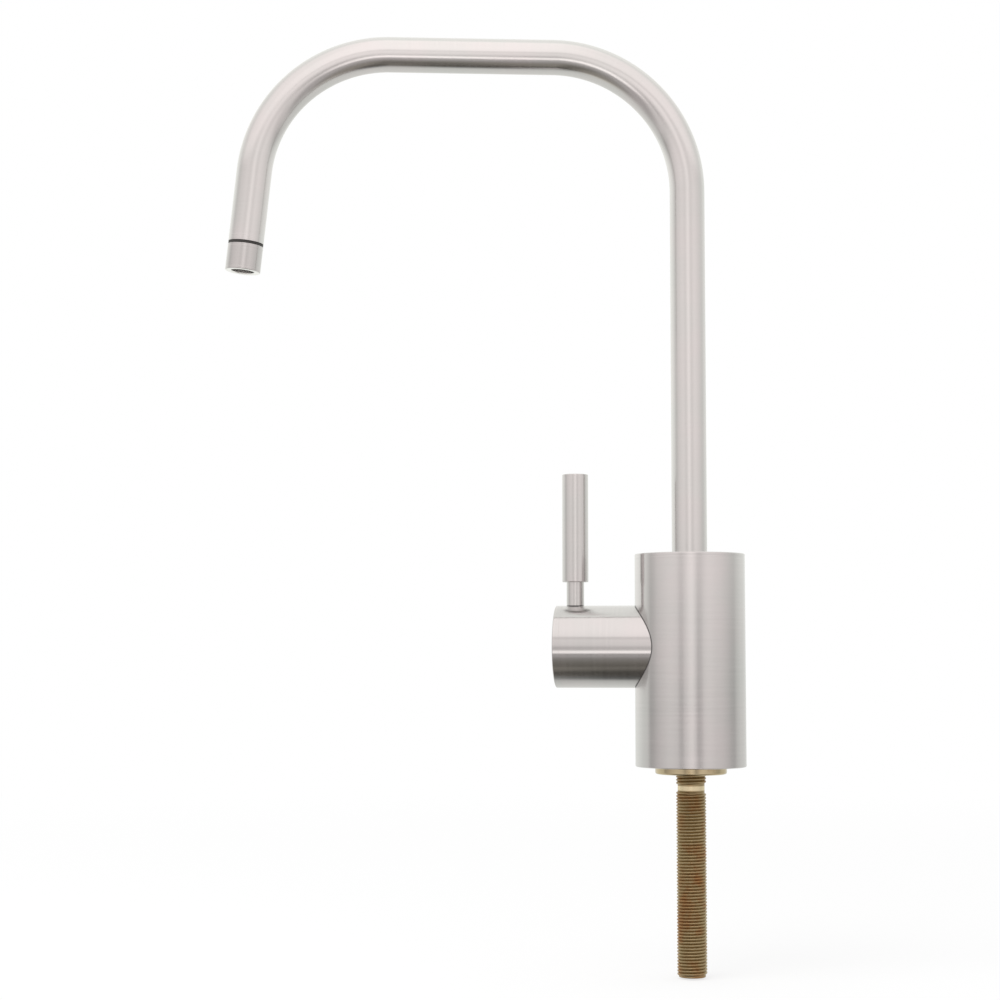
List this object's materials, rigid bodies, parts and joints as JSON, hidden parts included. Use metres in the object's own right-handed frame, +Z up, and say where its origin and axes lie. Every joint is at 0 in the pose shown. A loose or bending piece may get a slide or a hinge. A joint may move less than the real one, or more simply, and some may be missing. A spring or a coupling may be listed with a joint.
{
  "type": "cold water faucet",
  "caption": "Single cold water faucet: swivelling arched tube spout on a round body, quarter-turn lever barrel on the side, threaded shank through the deck.",
  "frame": {"origin": "on the body's axis, level with the body's underside, where it stands on the deck", "axes": "+Z up along the body, lever barrel along -X; the spout rests 12 degrees round from -X towards -Y"},
  "size_m": [0.232, 0.0753, 0.4269],
  "materials": {
    "body_steel": "turned and brushed round the body, fine rings",
    "barrel_steel": "turned and brushed round the barrel, fine rings",
    "lever_steel": "brushed round the lever",
    "tube_steel": "brushed tube, slightly brighter than the body",
    "ring_steel": "turned ring, fine rings",
    "screen_steel": "fine perforated disc",
    "spring_steel": "plain drawn steel",
    "bright_brass": "turned, clean",
    "shank_brass": "cut thread, dull and slightly browned",
    "core_brass": "machined",
    "seal_rubber": "smooth black rubber",
    "glide_plastic": "natural acetal",
    "disc_ceramic": "lapped faces"
  },
  "bodies": {
    "root": {"body_shell": "body_steel", "base_plug": "bright_brass", "base_seal_ring": "seal_rubber", "threaded_shank": "shank_brass", "core_inlet_seal": "seal_rubber", "valve_core": "core_brass", "cartridge_holder": "core_brass", "cartridge_housing": "glide_plastic", "cartridge_seat_seal": "seal_rubber", "fixed_ceramic_disc": "disc_ceramic", "cartridge_nut": "core_brass", "barrel_glide_ring_inner": "glide_plastic", "barrel_glide_ring_outer": "glide_plastic", "spout_glide_ring": "glide_plastic"},
    "spout": {"spout_tube": "tube_steel", "spout_insert": "core_brass", "spout_o_ring_upper": "seal_rubber", "spout_o_ring_lower": "seal_rubber", "spout_snap_ring": "spring_steel", "outlet_adapter": "core_brass", "outlet_seal_ring": "seal_rubber", "outlet_ring": "ring_steel", "stream_former": "glide_plastic", "outlet_screen": "screen_steel"},
    "lever": {"handle_barrel": "barrel_steel", "barrel_end_cap": "barrel_steel", "drive_hub": "core_brass", "hub_screw": "spring_steel", "lever_stud": "lever_steel", "lever_grip": "lever_steel", "cartridge_spindle": "core_brass", "spindle_o_ring": "seal_rubber", "moving_ceramic_disc": "disc_ceramic"}
  },
  "joints": [
    {"name": "spout_swivel", "type": "hinge", "parent": "root", "child": "spout", "pos_m": [0, 0, 0.2], "axis": [0, 0, 1], "continuous": true},
    {"name": "lever_turn", "type": "hinge", "parent": "root", "child": "lever", "pos_m": [-0.04, 0, 0.054], "axis": [-1, 0, 0], "range_deg": [0, 90]}
  ]
}
